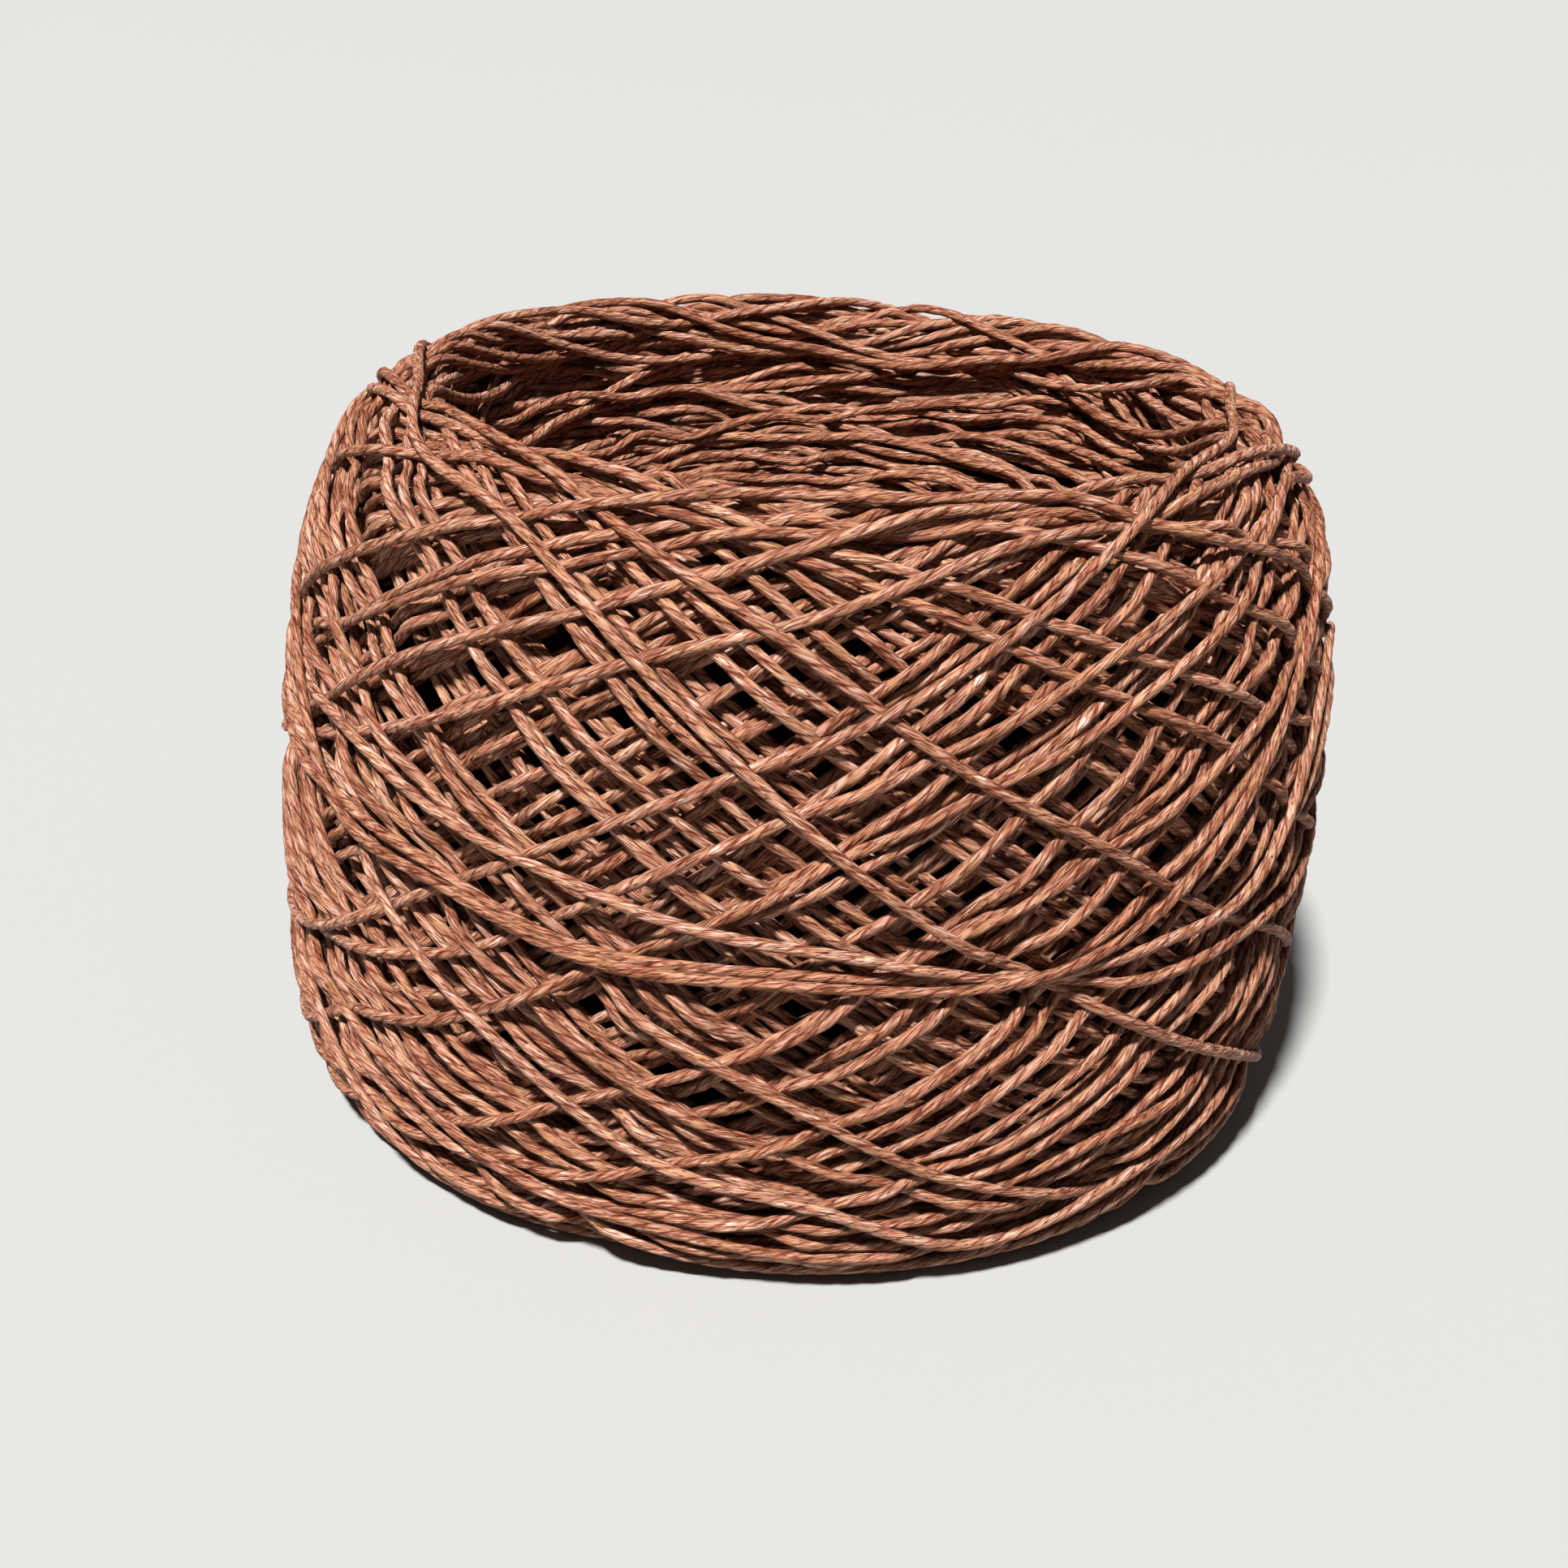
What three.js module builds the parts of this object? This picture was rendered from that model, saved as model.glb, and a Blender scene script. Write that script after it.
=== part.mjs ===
// A cake of paper raffia yarn: one strand wound crosswise into a flat-based drum.
// Millimetres, +Z up. The origin is the middle of the base, where the cake stands.
// The wound body is one solid. Its main wraps stand up from the side as crossing ridges.

import * as THREE from "three";

// Driving sizes.
const cakeDiameter = 125;
const cakeHeight = 83;
const coreHoleDiameter = 32;
const coreHoleDepth = 55;
const footChamfer = 1.5;

// The wraps that lie outermost. Each crosses the side twice, once rising and once falling.
const wrapCount = 22;
const wrapHalfWidth = 1.9;
const wrapSlope = 40;
const gapDepth = 2.6;
const buriedDepth = 1.3;
const straying = 2.6;

// A ridge takes three lines of points: a foot, the crest and the other foot.
const linesPerWrap = 3;
const pitchesFromMiddleToRim = 9;
const pitchesThatFade = 1.4;

// The well's own turns lie nearly level, closer together and shallower.
const wellRingCount = 16;
const wellRidge = 0.9;
const wellWander = 0.7;
const wellWaves = 2;

const outerRadius = cakeDiameter / 2;
const coreRadius = coreHoleDiameter / 2;
const lineCount = wrapCount * linesPerWrap;
const linesFromMiddle = pitchesFromMiddleToRim * linesPerWrap;
const sideRows = 2 * linesFromMiddle;
const fadeRows = pitchesThatFade * linesPerWrap;
const fullTurn = 2 * Math.PI;
const goldenAngle = fullTurn * 0.381966;
const wrapPitch = fullTurn / wrapCount;
const rimPhase = (pitchesFromMiddleToRim * wrapPitch) / 2;
const footAngle = wrapHalfWidth / (outerRadius * Math.sin(THREE.MathUtils.degToRad(wrapSlope)));

// The side from the inside of the rim down to the edge of the base.
// Both outlines are in shares of the outer radius and of the height.
const sideOutline = [
  { out: 0.690, up: 0.962 },
  { out: 0.742, up: 1.000 },
  { out: 0.838, up: 0.968 },
  { out: 0.922, up: 0.860 },
  { out: 0.979, up: 0.680 },
  { out: 1.000, up: 0.450 },
  { out: 0.990, up: 0.220 },
  { out: 0.966, up: 0.075 },
  { out: 0.915, up: 0.016 },
  { out: 0.848, up: 0.000 },
];

// The well from the top of the core hole out to the inside of the rim.
const wellOutline = [
  { out: coreRadius / outerRadius, up: coreHoleDepth / cakeHeight },
  { out: 0.312, up: 0.693 },
  { out: 0.400, up: 0.720 },
  { out: 0.480, up: 0.752 },
  { out: 0.560, up: 0.795 },
  { out: 0.630, up: 0.855 },
  { out: 0.665, up: 0.915 },
  { out: 0.690, up: 0.962 },
];

function outlineCurve(outline) {
  const toPoint = ({ out, up }) => new THREE.Vector2(out * outerRadius, up * cakeHeight);
  return new THREE.SplineCurve(outline.map(toPoint));
}

const sideCurve = outlineCurve(sideOutline);
const wellCurve = outlineCurve(wellOutline);

function wrapIndex(index) {
  return ((index % lineCount) + lineCount) % lineCount;
}

// An uneven number from -1 to 1 for each wrap, in another order for each family.
function unevenness(wrap, family) {
  return Math.sin(goldenAngle * wrap * (1 + family) + family);
}

// The line's place in its wrap: -1 and 1 are the feet, 0 is the crest.
function partOfWrap(line) {
  return (wrapIndex(line) % linesPerWrap) - 1;
}

function wrapOf(line) {
  return Math.floor(wrapIndex(line) / linesPerWrap);
}

// The angle at which a line would cross the middle height. It may run past a full turn.
function lineAngle(line, family, loose) {
  const wrap = Math.floor(line / linesPerWrap);
  const stray = (straying / outerRadius) * unevenness(wrapOf(line), family) * loose;
  return wrap * wrapPitch + partOfWrap(line) * footAngle + stray;
}

function lineDepth(line, family) {
  if (partOfWrap(line) !== 0) {
    return gapDepth;
  }
  const buriedShare = (1 - unevenness(wrapOf(line) / 2, family)) / 2;
  return buriedDepth * buriedShare;
}

// A point at a share along a curve, sunk below it along its normal.
function ringPoint(curve, share, depth, angle) {
  const place = curve.getPointAt(share);
  const along = curve.getTangentAt(share);
  const radius = place.x + along.y * depth;
  const height = place.y - along.x * depth;
  return new THREE.Vector3(radius * Math.cos(angle), radius * Math.sin(angle), height);
}

// Rows 0 to sideRows run down the side.
// The rising wrap keeps its column, and the falling one moves on by a column in each row.
function sidePoint(row, column) {
  const rising = wrapIndex(column);
  const falling = rising + row - linesFromMiddle;
  const fromEdge = Math.min(row, sideRows - row) / fadeRows;
  const loose = Math.min(1, fromEdge);
  const risingAngle = lineAngle(rising, 0, loose);
  const fallingAngle = lineAngle(falling, 1, loose);
  const angle = (risingAngle + fallingAngle) / 2;
  const phase = THREE.MathUtils.clamp((risingAngle - fallingAngle) / 2, -rimPhase, rimPhase);
  const share = 0.5 - (0.5 * Math.sin(phase)) / Math.sin(rimPhase);
  const depth = Math.min(lineDepth(rising, 0), lineDepth(falling, 1)) * loose;
  return ringPoint(sideCurve, THREE.MathUtils.clamp(share, 0, 1), depth, angle);
}

function columnAngle(column) {
  const edge = sidePoint(sideRows, column);
  return Math.atan2(edge.y, edge.x);
}

// Level turns in the well: every other ring is sunk, and each wanders a little up and down.
function wellPoint(ring, column) {
  const angle = columnAngle(column);
  const fade = Math.sin((Math.PI * ring) / wellRingCount);
  const wander = (wellWander / wellCurve.getLength()) * Math.sin(wellWaves * angle + goldenAngle * ring);
  const share = ring / wellRingCount + wander * fade;
  const depth = ring % 2 === 0 ? 0 : wellRidge * fade;
  return ringPoint(wellCurve, share, depth, angle);
}

function flatRing(radius, height) {
  return (column) => {
    const angle = columnAngle(column);
    return new THREE.Vector3(radius * Math.cos(angle), radius * Math.sin(angle), height);
  };
}

// The rings of the whole skin in order: down the side, in under the base, up the core hole,
// and out along the well to the rim.
function skinRows() {
  const rows = [];
  for (let row = 0; row <= sideRows; row++) {
    rows.push((column) => sidePoint(row, column));
  }
  rows.push(flatRing(coreRadius + footChamfer, 0));
  rows.push(flatRing(coreRadius, footChamfer));
  for (let ring = 0; ring < wellRingCount; ring++) {
    rows.push((column) => wellPoint(ring, column));
  }
  rows.push((column) => sidePoint(0, column + linesFromMiddle));
  return rows;
}

// A sheet of points rolled up both ways into one closed skin, then set square over the origin.
function woundBody() {
  const rows = skinRows();
  const skin = new THREE.PlaneGeometry(1, 1, lineCount, rows.length - 1);
  skin.deleteAttribute("uv");
  const position = skin.getAttribute("position");
  rows.forEach((rowPoint, row) => {
    for (let column = 0; column <= lineCount; column++) {
      const point = rowPoint(wrapIndex(column));
      position.setXYZ(row * (lineCount + 1) + column, point.x, point.y, point.z);
    }
  });
  skin.computeBoundingBox();
  const middle = skin.boundingBox.getCenter(new THREE.Vector3());
  skin.translate(-middle.x, -middle.y, 0);
  skin.computeVertexNormals();
  return skin;
}

const raffiaPaper = new THREE.MeshStandardMaterial({
  color: 0x9a6446,
  roughness: 0.55,
  metalness: 0,
});

const yarnCake = new THREE.Group();
const wound = new THREE.Mesh(woundBody(), raffiaPaper);
wound.name = "wound_yarn";
yarnCake.add(wound);

export default yarnCake;
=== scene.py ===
import math

import bpy
import numpy as np
from mathutils import Matrix, Vector


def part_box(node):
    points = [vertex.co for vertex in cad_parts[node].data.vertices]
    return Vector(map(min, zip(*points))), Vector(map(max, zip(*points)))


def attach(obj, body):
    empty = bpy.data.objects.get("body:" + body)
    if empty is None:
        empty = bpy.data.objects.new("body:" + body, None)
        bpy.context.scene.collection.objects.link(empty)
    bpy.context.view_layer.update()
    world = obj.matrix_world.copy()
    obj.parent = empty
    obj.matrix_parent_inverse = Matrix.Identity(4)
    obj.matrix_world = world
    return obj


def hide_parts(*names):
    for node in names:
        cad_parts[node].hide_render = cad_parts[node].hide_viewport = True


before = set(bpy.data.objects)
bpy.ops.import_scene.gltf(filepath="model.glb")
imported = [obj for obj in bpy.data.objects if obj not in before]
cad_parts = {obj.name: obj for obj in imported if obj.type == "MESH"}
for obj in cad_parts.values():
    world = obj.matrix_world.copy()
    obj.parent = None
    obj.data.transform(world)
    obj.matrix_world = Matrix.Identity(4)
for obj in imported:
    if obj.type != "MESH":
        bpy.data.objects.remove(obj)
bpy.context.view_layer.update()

low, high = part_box("wound_yarn")
mm = 0.001
outerRadius = (high.x - low.x) / 2
cakeHeight = high.z
rng = np.random.default_rng(7)
print("frame loaded, cake", round(2 * outerRadius / mm), "mm across and", round(cakeHeight / mm), "mm high")


# camera, at the angle of the photograph
cameraSetup = {
    "lens": 46.6,
    "sensor": 36.0,
    "pitchDown": math.radians(24.25),
    "roll": math.radians(3.3),
    "distance": 4.077 * outerRadius,
    "lookAt": Vector((-0.030 * outerRadius, 0.0, 0.510 * outerRadius)),
}
photoSize = 1932


def cameraAxes(setup):
    forward = Vector((0, math.cos(setup["pitchDown"]), -math.sin(setup["pitchDown"])))
    right = Vector((1, 0, 0))
    up = right.cross(forward)
    rolledRight = right * math.cos(setup["roll"]) + up * math.sin(setup["roll"])
    rolledUp = up * math.cos(setup["roll"]) - right * math.sin(setup["roll"])
    return setup["lookAt"] - forward * setup["distance"], rolledRight, rolledUp, forward


def placeCamera(setup):
    eye, right, up, forward = cameraAxes(setup)
    bpy.ops.object.camera_add()
    camera = bpy.context.object
    camera.name = "photoCamera"
    camera.data.lens = setup["lens"]
    camera.data.sensor_width = setup["sensor"]
    camera.data.clip_start = 0.01
    camera.matrix_world = Matrix.Translation(eye) @ Matrix((right, up, -forward)).transposed().to_4x4()
    bpy.context.scene.camera = camera


placeCamera(cameraSetup)
print("camera placed")


# the cake's outline as shares of its radius and height
# it runs out along the base, up the side, over the rim and down the well
outlineStations = {
    "baseInner": (0.300, 0.000),
    "baseMiddle": (0.575, 0.000),
    "baseEdge": (0.848, 0.000),
    "footBend": (0.922, 0.016),
    "footTop": (0.976, 0.078),
    "lowSide": (0.996, 0.220),
    "belly": (1.000, 0.450),
    "highSide": (0.979, 0.680),
    "shoulder": (0.922, 0.860),
    "rimOuter": (0.838, 0.968),
    "rimCrest": (0.742, 1.000),
    "rimInner": (0.690, 0.962),
    "wellWall": (0.665, 0.915),
    "wellBend": (0.630, 0.855),
    "wellSlope": (0.560, 0.795),
    "wellFloor": (0.480, 0.752),
    "wellMiddle": (0.400, 0.720),
    "wellInner": (0.312, 0.693),
    "holeTop": (0.256, 0.640),
    "holeMiddle": (0.256, 0.330),
    "holeFoot": (0.262, 0.040),
}
outlineCurve = {
    "samples": 60,  # from one station to the next
    "handle": 0.36,  # of the distance between two stations
    "evenPoints": 2000,
    "slopeReach": 2,  # points each way that a slope is read from
}


def closedOutline(stations, curve):
    # a smooth closed line through the stations, at even steps, and each station's distance along it
    corners = np.array([(out * outerRadius, up * cakeHeight) for out, up in stations.values()])
    before, after, beyond = np.roll(corners, 1, 0), np.roll(corners, -1, 0), np.roll(corners, -2, 0)
    share = np.linspace(0, 1, curve["samples"], endpoint=False)[None, :, None]
    rest = 1 - share
    reach = curve["handle"] * np.linalg.norm(after - corners, axis=1)[:, None]
    leave = (after - before) / np.linalg.norm(after - before, axis=1)[:, None] * reach
    arrive = (beyond - corners) / np.linalg.norm(beyond - corners, axis=1)[:, None] * reach
    a, b, c, d = (x[:, None, :] for x in (corners, corners + leave, after - arrive, after))
    line = a * rest**3 + 3 * b * share * rest**2 + 3 * c * share**2 * rest + d * share**3
    line = line.reshape(-1, 2)
    line[:, 1] = np.maximum(line[:, 1], 0)
    steps = np.linalg.norm(np.roll(line, -1, 0) - line, axis=1)
    distance = np.concatenate([[0], np.cumsum(steps)])
    places = dict(zip(stations, distance[:-1:curve["samples"]]))
    even = np.linspace(0, distance[-1], curve["evenPoints"], endpoint=False)
    closed = np.vstack([line, line[:1]])
    radius, height = (np.interp(even, distance, closed[:, i]) for i in (0, 1))
    ahead, behind = -curve["slopeReach"], curve["slopeReach"]
    alongR = np.roll(radius, ahead) - np.roll(radius, behind)
    alongZ = np.roll(height, ahead) - np.roll(height, behind)
    size = np.hypot(alongR, alongZ)
    return {
        "length": distance[-1],
        "places": places,
        "even": even,
        "radius": radius,
        "height": height,
        "normalR": alongZ / size,
        "normalZ": -alongR / size,
    }


outline = closedOutline(outlineStations, outlineCurve)
places = outline["places"]
crest, bend = places["rimCrest"], places["footBend"]
lean = 0.020  # the cake leans to the right by this share of its height


def alongOutline(what, s):
    return np.interp(s % outline["length"], outline["even"], outline[what], period=outline["length"])


def smoothRing(values, width):
    # blurs a closed row of numbers over width samples
    wave = np.fft.rfftfreq(len(values))
    return np.fft.irfft(np.fft.rfft(values) * np.exp(-2 * (math.pi * width * wave) ** 2), len(values))


def wander(count, width):
    # a closed row of slow, even-sized random numbers
    row = smoothRing(rng.standard_normal(count), width)
    return row / max(row.std(), 1e-9)


# the yarn: two plies of paper, twisted together
yarn = {
    "radius": 0.645 * mm,
    "plies": 2,
    "grooveDepth": 0.16,
    "twistPitch": 5.8 * mm,
    "width": 1.04,
    "thickness": 0.96,
    "layHeight": 0.56 * mm,  # what a turn takes up of the depth
    "layHalfWidth": 0.88 * mm,
    "uneven": 0.05,
    "unevenLength": 4 * mm,
    "fineUneven": 0.3,  # of the unevenness, from point to point
    "patternShifts": 200,  # whole turns of the plies by which the paper's pattern may be moved along
    "clearOfFloor": 0.04 * mm,
}
packing = {
    "feelers": (-0.6, 0.0, 0.6),  # across a turn, in its half widths, where it feels what lies over it
    "tracks": 9,  # lines along a turn that take up room
    "flank": 0.8,  # how much lower a turn is at its edges
    "bridge": 2.0 * mm,
    "drape": 1.8 * mm,
    "depth": 4.5 * mm,  # the lowest turns are pressed together above this
    "outermost": 0.3 * mm,  # from the outline in to the middle of the last turns
}
fineStep = 0.25 * mm
angleCells = 960  # cells of the depth map round the cake
alongCells = 800  # and along the outline
sunkMap = np.zeros((angleCells, alongCells))  # how far down each place is taken up


def cellsOf(phi, s):
    i = np.floor(phi / (2 * math.pi) * angleCells).astype(int) % angleCells
    j = np.floor(s / outline["length"] * alongCells).astype(int) % alongCells
    return i, j


def sinkTurn(turn, plan):
    # a turn lies under all that is wound after it, so the last ones reach the outline
    phi, s = turn
    radius = alongOutline("radius", s)
    dPhi = (np.roll(phi, -1) - np.roll(phi, 1) + math.pi) % (2 * math.pi) - math.pi
    dS = np.roll(s, -1) - np.roll(s, 1)
    size = np.hypot(radius * dPhi, dS)
    sideways = (-dS / size / radius, radius * dPhi / size)
    over = np.zeros(len(phi))
    for offset in plan["feelers"]:
        reach = offset * yarn["layHalfWidth"]
        over = np.maximum(over, sunkMap[cellsOf(phi + reach * sideways[0], s + reach * sideways[1])])
    deepest = over.copy()
    for shift in range(1, int(plan["bridge"] / fineStep)):
        deepest = np.maximum(deepest, np.maximum(np.roll(over, shift), np.roll(over, -shift)))
    depth = smoothRing(deepest, plan["drape"] / fineStep) + yarn["layHeight"]
    for offset in np.linspace(-1, 1, plan["tracks"]):
        reach = offset * yarn["layHalfWidth"]
        under = yarn["layHeight"] * math.sqrt(1 - plan["flank"] * offset**2)
        np.maximum.at(sunkMap, cellsOf(phi + reach * sideways[0], s + reach * sideways[1]), depth + under)
    return phi, s, depth


turnSamples = 1440


def evenTurn(alongOf):
    # a closed turn, sampled at even fine steps
    phi = np.linspace(0, 2 * math.pi, turnSamples, endpoint=False)
    s = alongOf(phi)
    ds = (np.roll(s, -1) - np.roll(s, 1)) / 2
    steps = np.hypot(alongOutline("radius", s) * (2 * math.pi / len(phi)), ds)
    distance = np.concatenate([[0], np.cumsum(steps)])
    count = int(distance[-1] / fineStep)
    even = np.linspace(0, distance[-1], count, endpoint=False)
    closedPhi, closedS = np.append(phi, 2 * math.pi), np.append(s, s[0])
    return np.interp(even, distance, closedPhi), np.interp(even, distance, closedS)


levelling = {
    "samples": 720,
    "uneven": (-0.4, 0.4),  # of the step between turns
    "tilts": (0.3, 1.0),  # of the most that a turn may tilt
    "waver": 0.15,  # of its tilt
    "waverWidth": 60,  # in samples
    "kinkWidth": 11,
}


def levelTurns(count, start, end, tilt, kink):
    # nearly level turns between two places of the outline, each tilted and kinked its own way
    samples = levelling["samples"]
    around = np.linspace(0, 2 * math.pi, samples, endpoint=False)
    turns = []
    for number in rng.permutation(count):
        middle = start + (end - start) * (number + 0.5 + rng.uniform(*levelling["uneven"])) / count
        tilted, phase = tilt * rng.uniform(*levelling["tilts"]), rng.uniform(0, 2 * math.pi)
        path = middle + tilted * np.cos(around - phase)
        path = path + levelling["waver"] * tilted * wander(samples, levelling["waverWidth"])
        path = path + kink * wander(samples, levelling["kinkWidth"])
        turns.append(evenTurn(lambda a: np.interp(a, around, path, period=2 * math.pi)))
    return turns


def crossTurn(phase, top, foot, stray):
    # one wrap: a tilted loop that rises to its top on one side and falls to its foot on the other
    second = rng.uniform(0, 2 * math.pi)
    third = rng.uniform(0, 2 * math.pi)
    def along(a):
        wave = np.cos(a - phase)
        loose = stray * (np.sin(2 * a - second) + 0.5 * np.sin(3 * a - third))
        return (top + foot) / 2 + (top - foot) / 2 * wave + loose
    return evenTurn(along)


winding = {
    "passes": 5,
    "wrapsPerPass": 22,
    "layerWraps": 66,
    "topReach": (-4 * mm, 12 * mm),  # from the rim's crest
    "footReach": (-4 * mm, 7 * mm),  # from the bend of the foot
    "highFeet": 0.12,  # share of the wraps
    "highFeetBy": (6, 18),  # millimetres
    "passShift": 0.37,  # of a step, from one pass to the next
    "uneven": 0.15,  # of the step between wraps
    "stray": 0.5 * mm,
    "lastSide": math.radians(90),  # the wraps of the even layer with their tops here are wound last
}


def looseWrap(plan, angle, step):
    top = crest + rng.uniform(*plan["topReach"])
    foot = bend + rng.uniform(*plan["footReach"])
    if rng.random() < plan["highFeet"]:
        foot += rng.uniform(*plan["highFeetBy"]) * mm
    return crossTurn(angle + rng.normal(0, plan["uneven"]) * step, top, foot, plan["stray"])


def crossPasses(plan):
    # loose passes that fill each other's gaps, then a layer of evenly spaced wraps
    perPass = plan["wrapsPerPass"]
    step = 2 * math.pi / (perPass + plan["passShift"])
    wraps = [looseWrap(plan, number * step, step) for number in range(plan["passes"] * perPass)]
    step = 2 * math.pi / plan["layerWraps"]
    angles = step * np.arange(plan["layerWraps"])
    for angle in sorted(angles, key=lambda angle: math.cos(angle - plan["lastSide"])):
        wraps.append(looseWrap(plan, angle, step))
    return [wraps[start:start + perPass] for start in range(0, len(wraps), perPass)]


# the last wraps follow the ones in the photograph, in its pixels, from the first wound to the last
lastWraps = {
    "outerRise": [
        (1604, 727), (1596, 768), (1579, 802), (1554, 835), (1533, 868), (1508, 897), (1450, 972),
        (1425, 993),
    ],
    "edgeFall": [
        (357, 972), (369, 1022), (382, 1056), (398, 1097), (419, 1143), (440, 1180), (465, 1215),
        (494, 1250),
    ],
    "lowRightRise": [
        (1560, 1172), (1546, 1210), (1529, 1252), (1512, 1285), (1500, 1310), (1471, 1335), (1437, 1364),
        (1400, 1385),
    ],
    "outerRightRise": [
        (1567, 1218), (1550, 1260), (1540, 1293), (1529, 1314), (1508, 1343), (1483, 1377), (1450, 1414),
    ],
    "highRight": [(1107, 640), (1211, 645), (1318, 655), (1388, 678), (1491, 721), (1568, 759)],
    "underRight": [(1180, 722), (1249, 745), (1307, 771), (1403, 805), (1480, 835)],
    "longRight": [
        (836, 625), (898, 648), (991, 684), (1080, 722), (1180, 765), (1257, 800), (1365, 852),
        (1472, 896), (1557, 950),
    ],
    "highLeft": [
        (421, 763), (494, 740), (571, 713), (709, 690), (836, 663), (898, 655), (1018, 652), (1107, 638),
    ],
    "middleRise": [
        (494, 894), (601, 867), (701, 836), (809, 809), (898, 786), (988, 768), (1080, 735), (1153, 708),
        (1249, 671), (1307, 657),
    ],
    "innerRise": [
        (1480, 732), (1403, 790), (1307, 855), (1230, 903), (1145, 944), (1049, 986), (963, 1018),
        (855, 1061), (794, 1084), (701, 1128),
    ],
    "lowRise": [(555, 1388), (648, 1376), (763, 1349), (851, 1330), (920, 1305), (1003, 1272), (1057, 1241)],
    "lowFall": [(528, 1111), (586, 1180), (640, 1228), (701, 1288), (778, 1341), (855, 1385)],
    "footRise": [(1280, 1241), (1195, 1307), (1095, 1368), (1003, 1403), (878, 1434), (763, 1450)],
    "cornerRise": [(1411, 1284), (1349, 1345), (1268, 1399), (1180, 1441)],
    "footFall": [
        (613, 1084), (648, 1126), (686, 1165), (725, 1207), (801, 1272), (878, 1315), (971, 1361),
        (1057, 1413), (1153, 1449), (1268, 1472), (1400, 1470),
    ],
    "leftRise": [
        (401, 855), (505, 805), (601, 778), (725, 748), (836, 717), (963, 682), (1049, 656), (1150, 627),
    ],
    "longRise": [
        (1557, 700), (1518, 767), (1445, 832), (1357, 901), (1249, 963), (1161, 1011), (1057, 1057),
        (994, 1080), (901, 1141), (801, 1172), (701, 1207), (609, 1245), (501, 1257), (440, 1250),
    ],
    "footFallLeft": [
        (382, 1160), (398, 1202), (419, 1243), (444, 1277), (477, 1310), (507, 1343), (523, 1368),
        (565, 1402),
    ],
    "outerFall": [(365, 1168), (377, 1218), (402, 1268), (423, 1314), (444, 1356), (473, 1402)],
    "secondFall": [
        (555, 501), (632, 544), (709, 601), (782, 659), (878, 732), (971, 790), (1091, 882), (1195, 955),
        (1311, 1018), (1434, 1088), (1538, 1138),
    ],
    "frontLip": [
        (363, 725), (417, 686), (501, 659), (601, 636), (709, 621), (821, 609), (994, 605), (1180, 609),
        (1365, 617), (1461, 650), (1557, 675), (1610, 702),
    ],
    "rimRise": [
        (1476, 480), (1468, 555), (1422, 621), (1365, 686), (1288, 751), (1211, 813), (1107, 875),
        (1003, 925), (901, 959), (817, 995), (709, 1030), (617, 1068), (494, 1111), (401, 1141),
    ],
    "leftFall": [
        (365, 893), (380, 935), (398, 970), (417, 1003), (451, 1072), (505, 1168), (571, 1245),
        (648, 1318), (725, 1384), (813, 1441), (898, 1465), (994, 1491),
    ],
    "firstFall": [
        (532, 567), (609, 621), (701, 721), (801, 836), (917, 951), (1049, 1072), (1149, 1145),
        (1257, 1203), (1403, 1265), (1538, 1299),
    ],
    "lowestSmile": [
        (701, 1172), (801, 1195), (920, 1205), (1107, 1215), (1311, 1216), (1422, 1207), (1499, 1172),
        (1576, 1134), (1597, 1090), (1604, 1040),
    ],
    "upperSmile": [
        (365, 827), (382, 847), (407, 881), (440, 914), (477, 952), (505, 980), (578, 1030), (659, 1068),
        (748, 1111), (855, 1149), (955, 1165), (1049, 1184), (1165, 1207), (1288, 1210), (1349, 1198),
        (1403, 1180), (1480, 1138), (1549, 1099), (1590, 1040), (1600, 990), (1608, 935), (1615, 893),
    ],
    "lowerSmile": [
        (357, 800), (368, 850), (380, 895), (394, 945), (409, 999), (494, 1065), (571, 1111), (667, 1161),
        (755, 1195), (859, 1207), (980, 1218), (1103, 1226), (1195, 1220), (1288, 1207), (1365, 1172),
        (1434, 1122), (1491, 1057), (1538, 988), (1562, 947), (1579, 906), (1596, 852), (1608, 810),
    ],
}


tracing = {
    "square": 0.55,  # points seen more edge-on than this count less
    "tops": (-40, 9, 4),  # in millimetres from the rim's crest: from, to and step
    "feet": (-4, 45, 4),  # from the bend of the foot
    "turnedBy": (0, 360, 2),  # in degrees
    "ray": (0.6, 1.3, 3000),  # shares of the camera's distance between which it is followed, and its points
    "offCake": 9,  # how much a distance above or below the cake counts
    "waves": 12,
    "stiffness": 2e-5,  # against short waves
    "hold": 0.02,
}


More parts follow.
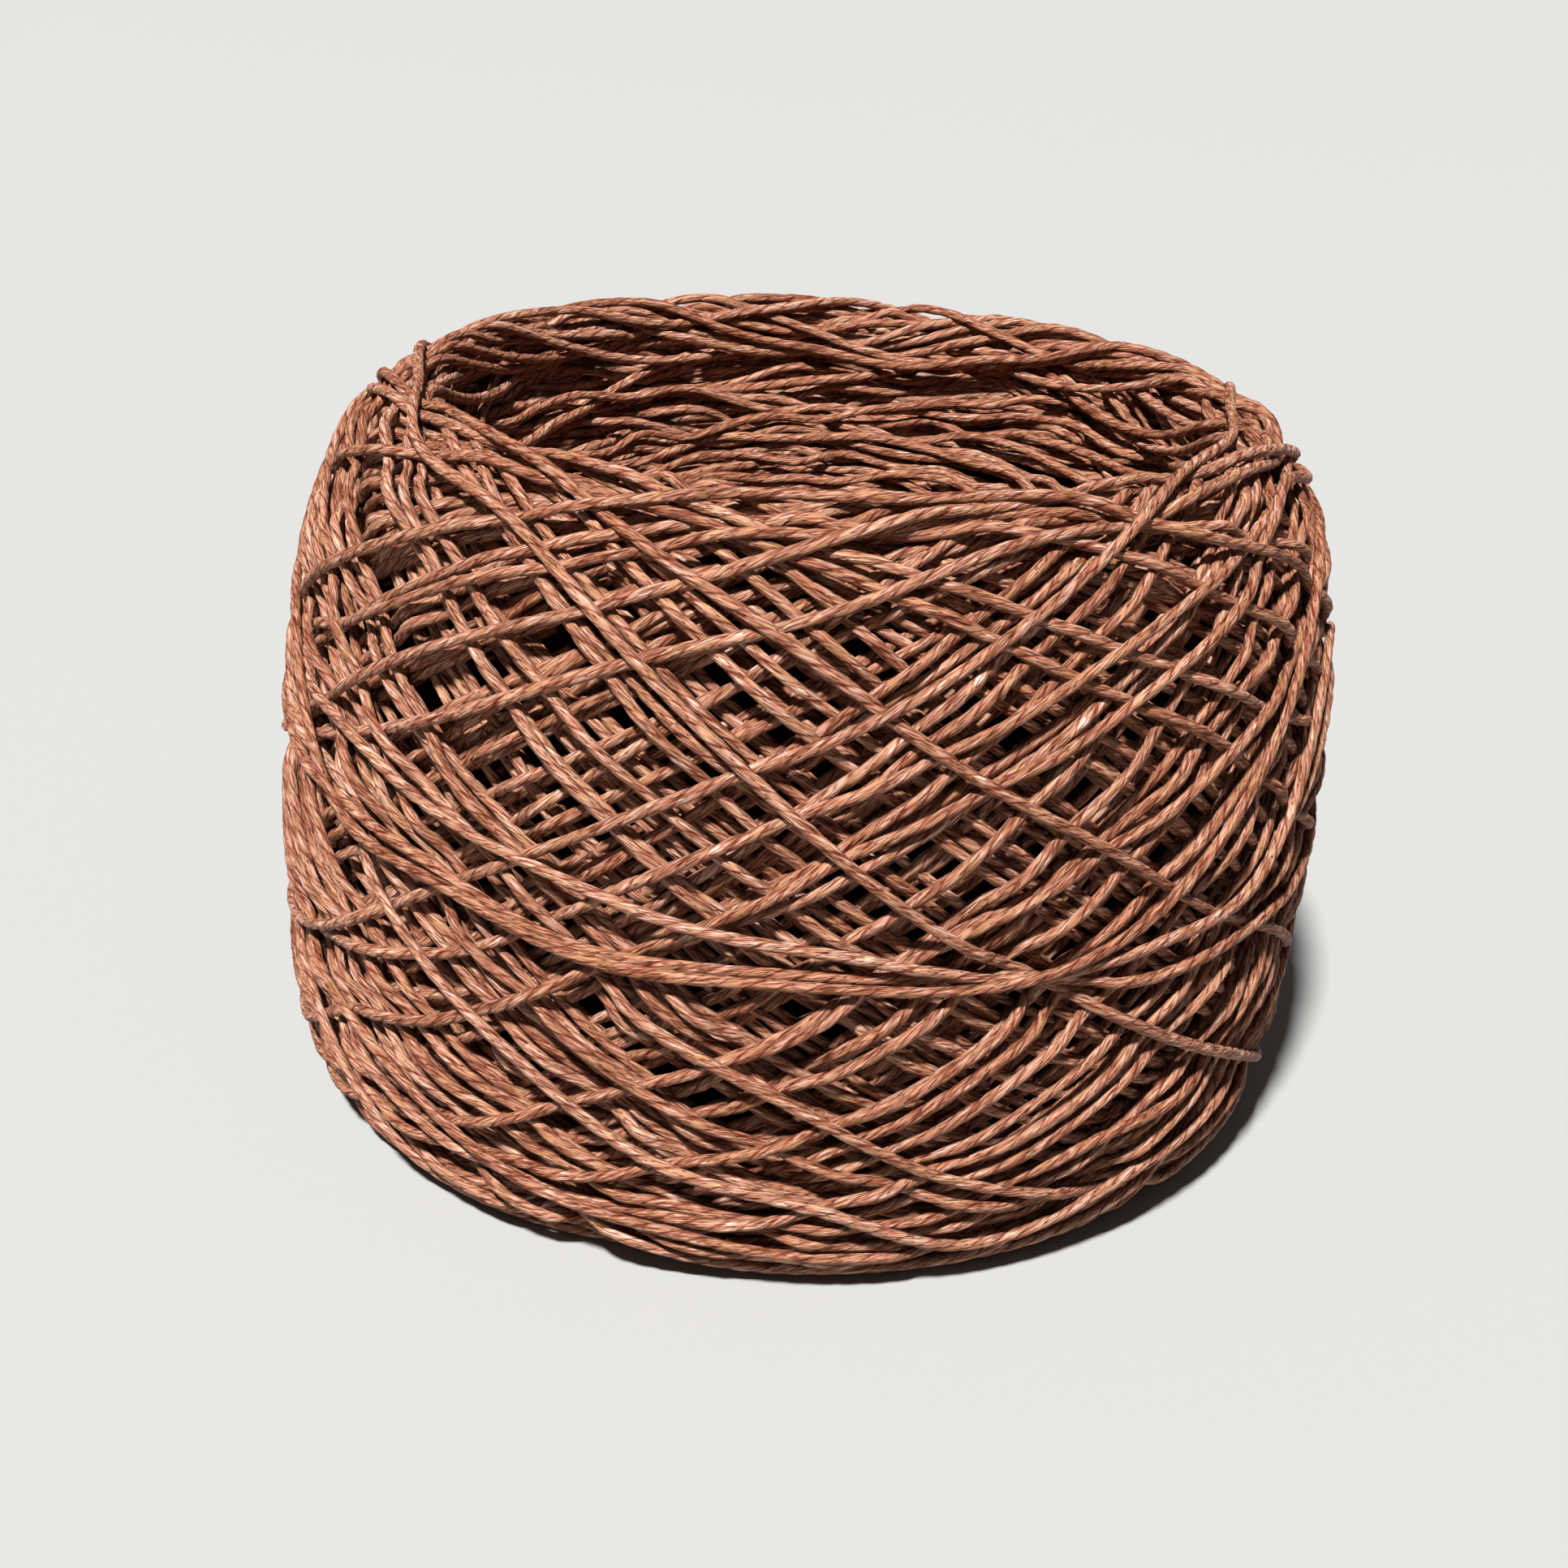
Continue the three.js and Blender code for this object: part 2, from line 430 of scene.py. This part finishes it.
def underPixel(x, y):
    # the place on the cake's side that a pixel of the photograph shows, and how squarely it is seen
    eye, right, up, forward = (np.array(axis) for axis in cameraAxes(cameraSetup))
    scale = cameraSetup["sensor"] / cameraSetup["lens"]
    ray = forward + right * (x / photoSize - 0.5) * scale + up * (0.5 - y / photoSize) * scale
    points = eye + np.linspace(*tracing["ray"])[:, None] * cameraSetup["distance"] * ray
    points[:, 0] -= lean * (points[:, 2] - cakeHeight / 2)
    side = (outline["even"] >= places["baseEdge"]) & (outline["even"] <= places["rimCrest"])
    sideHeight, sideRadius = outline["height"][side], outline["radius"][side]
    outside = np.hypot(points[:, 0], points[:, 1]) - np.interp(points[:, 2], sideHeight, sideRadius)
    outside = outside + tracing["offCake"] * np.abs(points[:, 2] - np.clip(points[:, 2], 0, cakeHeight))
    hit = np.argmax(outside <= 0) if outside.min() <= 0 else np.argmin(outside)
    along = np.interp(points[hit, 2], sideHeight, outline["even"][side])
    phi = math.atan2(points[hit, 1], points[hit, 0]) % (2 * math.pi)
    normalR, normalZ = alongOutline("normalR", along), alongOutline("normalZ", along)
    normal = np.array([normalR * math.cos(phi), normalR * math.sin(phi), normalZ])
    return phi, along, max(0.0, -normal @ ray / np.linalg.norm(ray))


def tracedTurn(pixels):
    # the loop between rim and foot that runs nearest to the pixels, bent gently over to them
    phi, s, facing = (np.array(column) for column in zip(*(underPixel(x, y) for x, y in pixels)))
    trust = np.clip(facing / tracing["square"], 0, 1) ** 2
    tops = crest + np.arange(*tracing["tops"]) * mm
    feet = bend + np.arange(*tracing["feet"]) * mm
    phases = np.radians(np.arange(*tracing["turnedBy"]))
    top, foot, phase = (x[..., None] for x in np.meshgrid(tops, feet, phases))
    apart = (top + foot) / 2 + (top - foot) / 2 * np.cos(phi - phase) - s
    best = np.unravel_index(np.argmin((trust * apart**2).sum(-1)), apart.shape[:-1])
    top, foot, phase = top[best][0], foot[best][0], phase[best][0]
    waves = np.arange(tracing["waves"] + 1)
    def series(a):
        return np.hstack([np.cos(np.outer(a, waves)), np.sin(np.outer(a, waves[1:]))])
    stiff = tracing["stiffness"] * np.concatenate([waves, waves[1:]]) ** 4.0 + tracing["hold"]
    seen = series(phi) * trust[:, None]
    drawn = np.linalg.solve(seen.T @ seen + np.diag(stiff), seen.T @ (-trust * apart[best]))
    def along(a):
        return (top + foot) / 2 + (top - foot) / 2 * np.cos(a - phase) + series(a) @ drawn
    return evenTurn(along)


# how many there are, where they start and end, and how far each one tilts and kinks
levelGroups = {
    "hole_turns": (34, places["holeTop"], outline["length"], 1.5 * mm, 0),
    "base_turns": (36, places["baseInner"], bend + 1 * mm, 2.5 * mm, 0),
    "well_turns": (158, crest + 2 * mm, places["holeTop"], 8.0 * mm, 0.8 * mm),
    "foot_turns": (11, bend - 2 * mm, bend + 14 * mm, 5 * mm, 0.3 * mm),
}

# from the first wound to the last
passes = crossPasses(winding)
windings = {}
for name in ("hole_turns", "base_turns"):
    windings[name] = levelTurns(*levelGroups[name])
for number, turns in enumerate(passes):
    if number == winding["passes"]:
        for name in ("well_turns", "foot_turns"):
            windings[name] = levelTurns(*levelGroups[name])
    windings[f"wraps_{number + 1}"] = turns
windings["last_wraps"] = [tracedTurn(pixels) for pixels in lastWraps.values()]
for name in reversed(windings):
    windings[name] = [sinkTurn(turn, packing) for turn in reversed(windings[name])]
print("turns laid:", {name: len(turns) for name, turns in windings.items()})


def offOutline(phi, s, offset):
    # points beside the outline, and the way out from it
    normalR, normalZ = alongOutline("normalR", s), alongOutline("normalZ", s)
    radius = alongOutline("radius", s) + normalR * offset
    height = alongOutline("height", s) + normalZ * offset
    leaning = lean * (height - cakeHeight / 2)
    point = np.stack([radius * np.cos(phi) + leaning, radius * np.sin(phi), height], 1)
    outward = np.stack([normalR * np.cos(phi), normalR * np.sin(phi), normalZ], 1)
    return point, outward


def onCake(phi, s, depth):
    under = depth - yarn["layHeight"]
    pressed = packing["depth"] * (1 - np.exp(-under / packing["depth"]))
    return offOutline(phi, s, -packing["outermost"] - pressed)


def unit(rows):
    return rows / np.linalg.norm(rows, axis=1)[:, None]


def twistedTurn(turn, sides, step):
    # the section bulges at each ply, and the plies turn round each other along the yarn
    phi, s, depth = turn
    start = rng.integers(len(phi))
    phi, s, depth = np.unwrap(np.roll(phi, -start)), np.roll(s, -start), np.roll(depth, -start)
    point, _ = onCake(phi, s, depth)
    distance = np.concatenate([[0], np.cumsum(np.linalg.norm(np.roll(point, -1, 0) - point, axis=1))])
    count = int(round(distance[-1] / step))
    even = np.linspace(0, distance[-1], count, endpoint=False)
    phi = np.interp(even, distance, np.append(phi, phi[0] + 2 * math.pi))
    s = np.interp(even, distance, np.append(s, s[0]))
    depth = np.interp(even, distance, np.append(depth, depth[0]))
    point, outward = onCake(phi, s, depth)
    point[:, 2] = np.maximum(point[:, 2], yarn["radius"])
    along = unit(np.roll(point, -1, 0) - np.roll(point, 1, 0))
    outward = unit(outward - along * np.sum(outward * along, 1)[:, None])
    across = np.cross(outward, along)
    twists = round(distance[-1] / yarn["twistPitch"])
    turned = twists * np.arange(count + 1) / count  # whole turns of the plies up to each ring
    angle = 2 * math.pi * np.arange(sides)[None, :] / sides
    fromPly = angle - 2 * math.pi * turned[:-1, None]
    bulge = np.abs(np.cos(yarn["plies"] / 2 * fromPly))
    size = yarn["radius"] * (1 - yarn["grooveDepth"] * (1 - bulge))
    size = size * (1 + yarn["uneven"] * wander(count, yarn["unevenLength"] / step))[:, None]
    size = size * (1 + yarn["fineUneven"] * yarn["uneven"] * rng.standard_normal((count, sides)))
    ring = point[:, None, :]
    ring = ring + (size * np.cos(angle) * yarn["thickness"])[:, :, None] * outward[:, None, :]
    ring = ring + (size * np.sin(angle) * yarn["width"])[:, :, None] * across[:, None, :]
    return ring, turned


def yarnPiece(name, turns, sides, step):
    verts, faces, us, vs, tones = [], [], [], [], []
    start = 0
    for turn in turns:
        ring, turned = twistedTurn(turn, sides, step)
        count = len(ring)
        i, k = (x.ravel() for x in np.meshgrid(np.arange(count), np.arange(sides), indexing="ij"))
        nextI, nextK = (i + 1) % count, (k + 1) % sides
        corners = [(i, k), (nextI, k), (nextI, nextK), (i, nextK)]
        faces.append(np.stack([start + a * sides + b for a, b in corners], 1))
        shift = rng.integers(yarn["patternShifts"])
        us.append(shift + np.stack([turned[i], turned[i + 1], turned[i + 1], turned[i]], 1))
        vs.append(np.stack([k, k, k + 1, k + 1], 1) / sides)
        tones.append(np.full(count * sides, rng.uniform(0, 1)))
        verts.append(ring.reshape(-1, 3))
        start += count * sides
    verts, faces = np.concatenate(verts), np.concatenate(faces)
    verts[:, 2] = np.maximum(verts[:, 2], yarn["clearOfFloor"])
    mesh = bpy.data.meshes.new(name)
    mesh.vertices.add(len(verts))
    mesh.vertices.foreach_set("co", verts.astype(np.float32).ravel())
    mesh.loops.add(faces.size)
    mesh.loops.foreach_set("vertex_index", faces.astype(np.int32).ravel())
    mesh.polygons.add(len(faces))
    mesh.polygons.foreach_set("loop_start", np.arange(0, faces.size, 4, dtype=np.int32))
    mesh.update(calc_edges=True)
    uvs = np.stack([np.concatenate(us).ravel(), np.concatenate(vs).ravel()], 1)
    mesh.uv_layers.new(name="alongYarn").data.foreach_set("uv", uvs.astype(np.float32).ravel())
    tone = mesh.attributes.new("turnTone", "FLOAT", "POINT")
    tone.data.foreach_set("value", np.concatenate(tones).astype(np.float32))
    mesh.polygons.foreach_set("use_smooth", np.ones(len(faces), bool))
    mesh.validate()
    piece = bpy.data.objects.new(name, mesh)
    bpy.context.scene.collection.objects.link(piece)
    print(name, "has", 2 * len(faces), "triangles")
    return piece


def mathNode(tree, operation, first, second=None):
    made = tree.nodes.new("ShaderNodeMath")
    made.operation = operation
    for socket, value in zip(made.inputs, (first, second)):
        if value is None:
            continue
        if isinstance(value, (int, float)):
            socket.default_value = value
        else:
            tree.links.new(value, socket)
    return made.outputs[0]


raffiaLook = {
    "fibreLean": 1.7,  # radians for each turn of the plies
    "streaks": (0.42, 1.7),  # length in turns of the plies, and how many there are round the yarn
    "fibres": (0.24, 3.4),
    "cracks": (0.60, 2.2),
    "flecks": (0.45, 0.9),
    "clouds": (4.0, 0.3),
    "dark": (0.072, 0.017, 0.007, 1),
    "middle": (0.235, 0.080, 0.041, 1),
    "light": (0.368, 0.190, 0.130, 1),
    # pale fibre streaks, partly painted highlight standing in for glints on the paper
    "paleFibreAndGlint": (0.590, 0.410, 0.325, 1),
    "ochre": (0.370, 0.205, 0.090, 1),
    "crack": (0.24, 0.10, 0.055, 1),
    # painted shade in the groove between the plies
    "groove": (0.54, 0.32, 0.23, 1),
    "shadeOfClouds": (0.84, 0.78, 0.76, 1),
    "streakShare": 0.6,
    "fibreShare": 0.4,
    "toneSpread": 0.07,  # between one turn and the next
    "paperSteps": (0.34, 0.44, 0.56, 0.68),  # from dark to pale
    "ochreSteps": ((0.52, 0.0), (0.64, 0.4)),
    "crackHalfWidth": 0.045,
    "grooveShadeSteps": (0.02, 0.36),
    "cloudSteps": (0.38, 0.60),
    "crackRelief": 0.25,
    "grooveRelief": 0.45,
    "bumpStrength": 0.9,
    "bumpHeight": 0.35 * mm,
    "roughness": (0.52, 0.72),
    "specular": 0.20,
    "specularTint": (1.0, 0.78, 0.64, 1),
}


def yarnNoise(tree, u, ring, size, detail):
    # noise that is stretched along the yarn and closes round it
    length, count = size
    cosine, sine = ring
    vector = tree.nodes.new("ShaderNodeCombineXYZ")
    tree.links.new(mathNode(tree, "DIVIDE", u, length), vector.inputs[0])
    tree.links.new(mathNode(tree, "MULTIPLY", cosine, count), vector.inputs[1])
    tree.links.new(mathNode(tree, "MULTIPLY", sine, count), vector.inputs[2])
    noise = tree.nodes.new("ShaderNodeTexNoise")
    noise.inputs["Scale"].default_value = 1.0
    noise.inputs["Detail"].default_value = detail
    noise.inputs["Roughness"].default_value = 0.55
    tree.links.new(vector.outputs[0], noise.inputs["Vector"])
    return noise.outputs["Fac"]


def rampNode(tree, value, stops):
    ramp = tree.nodes.new("ShaderNodeValToRGB")
    elements = ramp.color_ramp.elements
    while len(elements) < len(stops):
        elements.new(0.5)
    for element, (position, color) in zip(elements, stops):
        element.position = position
        element.color = color
    tree.links.new(value, ramp.inputs[0])
    return ramp.outputs[0]


def grey(value):
    return (value, value, value, 1)


def mixColors(tree, factor, first, second, blend="MIX"):
    mix = tree.nodes.new("ShaderNodeMix")
    mix.data_type = "RGBA"
    mix.blend_type = blend
    for socket, value in (("Factor", factor), ("A", first), ("B", second)):
        if isinstance(value, (int, float, tuple)):
            mix.inputs[socket].default_value = value
        else:
            tree.links.new(value, mix.inputs[socket])
    return mix.outputs["Result"]


def raffiaPaper(look):
    material = bpy.data.materials.new("raffiaPaper")
    material.use_nodes = True
    tree = material.node_tree
    shader = tree.nodes["Principled BSDF"]
    uv = tree.nodes.new("ShaderNodeUVMap")
    uv.uv_map = "alongYarn"
    split = tree.nodes.new("ShaderNodeSeparateXYZ")
    tree.links.new(uv.outputs[0], split.inputs[0])
    u, v = split.outputs[0], split.outputs[1]
    angle = mathNode(tree, "MULTIPLY", v, 2 * math.pi)
    # the fibres lean less than the plies do
    leaning = mathNode(tree, "SUBTRACT", angle, mathNode(tree, "MULTIPLY", u, look["fibreLean"]))
    ring = mathNode(tree, "COSINE", leaning), mathNode(tree, "SINE", leaning)
    streaks = yarnNoise(tree, u, ring, look["streaks"], 2.0)
    fibres = yarnNoise(tree, u, ring, look["fibres"], 2.0)
    cracks = yarnNoise(tree, u, ring, look["cracks"], 1.0)
    flecks = yarnNoise(tree, u, ring, look["flecks"], 1.0)
    clouds = yarnNoise(tree, u, ring, look["clouds"], 2.0)
    toned = tree.nodes.new("ShaderNodeAttribute")
    toned.attribute_name = "turnTone"
    tone = mathNode(tree, "SUBTRACT", toned.outputs["Fac"], 0.5)
    tone = mathNode(tree, "MULTIPLY", tone, look["toneSpread"])
    broad = mathNode(tree, "MULTIPLY", streaks, look["streakShare"])
    fine = mathNode(tree, "MULTIPLY", fibres, look["fibreShare"])
    paper = mathNode(tree, "ADD", mathNode(tree, "ADD", broad, fine), tone)
    # the pale stop is partly the paper's pale fibres and partly painted highlight
    shades = (look["dark"], look["middle"], look["light"], look["paleFibreAndGlint"])
    color = rampNode(tree, paper, list(zip(look["paperSteps"], shades)))
    ochreMask = rampNode(tree, flecks, [(place, grey(share)) for place, share in look["ochreSteps"]])
    color = mixColors(tree, ochreMask, color, look["ochre"])
    # thin dark cracks along the yarn, and painted shade in the groove between the plies
    white = grey(1.0)
    crackEdge = mathNode(tree, "ABSOLUTE", mathNode(tree, "SUBTRACT", cracks, 0.5))
    crackMask = rampNode(tree, crackEdge, [(0.0, look["crack"]), (look["crackHalfWidth"], white)])
    fromPly = mathNode(tree, "SUBTRACT", angle, mathNode(tree, "MULTIPLY", u, 2 * math.pi))
    groove = mathNode(tree, "ABSOLUTE", mathNode(tree, "COSINE", fromPly))
    groove = mathNode(tree, "ADD", groove, mathNode(tree, "SUBTRACT", flecks, 0.5))
    # darker in the groove between the plies: painted shade
    grooveShadeMask = rampNode(tree, groove, list(zip(look["grooveShadeSteps"], (look["groove"], white))))
    cloudShade = rampNode(tree, clouds, list(zip(look["cloudSteps"], (look["shadeOfClouds"], white))))
    color = mixColors(tree, 1.0, color, crackMask, "MULTIPLY")
    color = mixColors(tree, 1.0, color, grooveShadeMask, "MULTIPLY")
    color = mixColors(tree, 1.0, color, cloudShade, "MULTIPLY")
    tree.links.new(color, shader.inputs["Base Color"])
    rough = tree.nodes.new("ShaderNodeMapRange")
    rough.inputs["To Min"].default_value = look["roughness"][0]
    rough.inputs["To Max"].default_value = look["roughness"][1]
    tree.links.new(streaks, rough.inputs["Value"])
    tree.links.new(rough.outputs[0], shader.inputs["Roughness"])
    relief = mathNode(tree, "ADD", paper, mathNode(tree, "MULTIPLY", crackMask, look["crackRelief"]))
    relief = mathNode(tree, "ADD", relief, mathNode(tree, "MULTIPLY", grooveShadeMask, look["grooveRelief"]))
    bump = tree.nodes.new("ShaderNodeBump")
    bump.inputs["Strength"].default_value = look["bumpStrength"]
    bump.inputs["Distance"].default_value = look["bumpHeight"]
    tree.links.new(relief, bump.inputs["Height"])
    tree.links.new(bump.outputs[0], shader.inputs["Normal"])
    shader.inputs["Specular IOR Level"].default_value = look["specular"]
    shader.inputs["Specular Tint"].default_value = look["specularTint"]
    return material


# the closed body of inner turns that the visible ones lie on, coloured near black as painted shade for the
# deep gaps
bedShadeLook = {
    "depth": 5.4 * mm,  # under the outline
    "offFloor": 0.6 * mm,
    "around": 96,
    "along": 110,
    "noise": (320, 3),  # scale and detail
    "steps": (0.35, 0.7),
    # near-black browns: painted shade, standing in for the dark depth seen between the turns
    "dark": (0.005, 0.0012, 0.0005, 1),
    "light": (0.016, 0.004, 0.0015, 1),
    "roughness": 1.0,
    "specular": 0.0,
    "bumpHeight": 0.8 * mm,
}


def bedShadeMaterial(look):
    material = bpy.data.materials.new("innerTurnsPaintedShade")
    material.use_nodes = True
    tree = material.node_tree
    shader = tree.nodes["Principled BSDF"]
    coordinates = tree.nodes.new("ShaderNodeTexCoord")
    noise = tree.nodes.new("ShaderNodeTexNoise")
    noise.inputs["Scale"].default_value, noise.inputs["Detail"].default_value = look["noise"]
    tree.links.new(coordinates.outputs["Object"], noise.inputs["Vector"])
    # the near-black colour of the inner turns is painted shade
    color = rampNode(tree, noise.outputs["Fac"], list(zip(look["steps"], (look["dark"], look["light"]))))
    tree.links.new(color, shader.inputs["Base Color"])
    shader.inputs["Roughness"].default_value = look["roughness"]
    shader.inputs["Specular IOR Level"].default_value = look["specular"]
    bump = tree.nodes.new("ShaderNodeBump")
    bump.inputs["Distance"].default_value = look["bumpHeight"]
    tree.links.new(noise.outputs["Fac"], bump.inputs["Height"])
    tree.links.new(bump.outputs[0], shader.inputs["Normal"])
    return material


def bedPiece(look):
    around, along = look["around"], look["along"]
    phi = 2 * math.pi * np.arange(around) / around
    s = outline["length"] * np.arange(along) / along
    grid = [offOutline(phi, np.full(around, place), -look["depth"])[0] for place in s]
    verts = np.concatenate(grid)
    verts[:, 2] = np.maximum(verts[:, 2], look["offFloor"])
    j, i = (x.ravel() for x in np.meshgrid(np.arange(along), np.arange(around), indexing="ij"))
    nextJ, nextI = (j + 1) % along, (i + 1) % around
    faces = np.stack([j * around + i, j * around + nextI, nextJ * around + nextI, nextJ * around + i], 1)
    mesh = bpy.data.meshes.new("inner_turns_painted_shade")
    mesh.from_pydata(verts.tolist(), [], faces.tolist())
    mesh.polygons.foreach_set("use_smooth", np.ones(len(faces), bool))
    piece = bpy.data.objects.new("inner_turns_painted_shade", mesh)
    bpy.context.scene.collection.objects.link(piece)
    return piece


# sides of the yarn, and the step along it
meshing = {
    "last_wraps": (8, 0.95 * mm),
    "wraps_8": (6, 1.3 * mm),
    "wraps_7": (6, 1.3 * mm),
    "wraps_6": (6, 1.3 * mm),
    "well_turns": (5, 1.8 * mm),
    "wraps_1": (5, 1.9 * mm),
    "wraps_2": (5, 1.9 * mm),
    "wraps_3": (5, 1.9 * mm),
    "wraps_4": (5, 1.9 * mm),
    "base_turns": (5, 1.9 * mm),
    "hole_turns": (5, 1.9 * mm),
    "others": (6, 1.6 * mm),
}
paper = raffiaPaper(raffiaLook)
pieces = [bedPiece(bedShadeLook)]
pieces[0].data.materials.append(bedShadeMaterial(bedShadeLook))
for name, turns in windings.items():
    sides, step = meshing.get(name, meshing["others"])
    pieces.append(yarnPiece(name, turns, sides, step))
for piece in pieces[1:]:
    piece.data.materials.append(paper)
for piece in pieces:
    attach(piece, "root")
    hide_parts("wound_yarn")
print("yarn made")


studio = {
    "floor": {"size": 40, "color": (0.28, 0.277, 0.271, 1), "roughness": 0.85},
    "sun": {"energy": 9.9, "softness": math.radians(5), "toLight": (-0.20, -0.48, 0.855)},
    "sky": {"color": (1.0, 0.98, 0.95, 1), "strength": 0.12},
}


def makeFloor(size, color, roughness):
    bpy.ops.object.select_all(action="DESELECT")
    bpy.ops.mesh.primitive_plane_add(size=size, location=(0, 0, 0))
    floor = bpy.context.object
    floor.name = "floor"
    material = bpy.data.materials.new("paleFloor")
    material.use_nodes = True
    shader = material.node_tree.nodes["Principled BSDF"]
    shader.inputs["Base Color"].default_value = color
    shader.inputs["Roughness"].default_value = roughness
    floor.data.materials.append(material)


def sunLight(energy, softness, toLight):
    bpy.ops.object.light_add(type="SUN", location=toLight)
    light = bpy.context.object
    light.name = "keyLight"
    light.data.energy = energy
    light.data.angle = softness
    light.rotation_euler = Vector(toLight).to_track_quat("Z", "Y").to_euler()


makeFloor(**studio["floor"])
sunLight(**studio["sun"])
world = bpy.data.worlds.new("studio")
world.use_nodes = True
sky = world.node_tree.nodes["Background"]
sky.inputs["Color"].default_value = studio["sky"]["color"]
sky.inputs["Strength"].default_value = studio["sky"]["strength"]
bpy.context.scene.world = world
bpy.context.scene.view_settings.view_transform = "Standard"
print("studio ready")
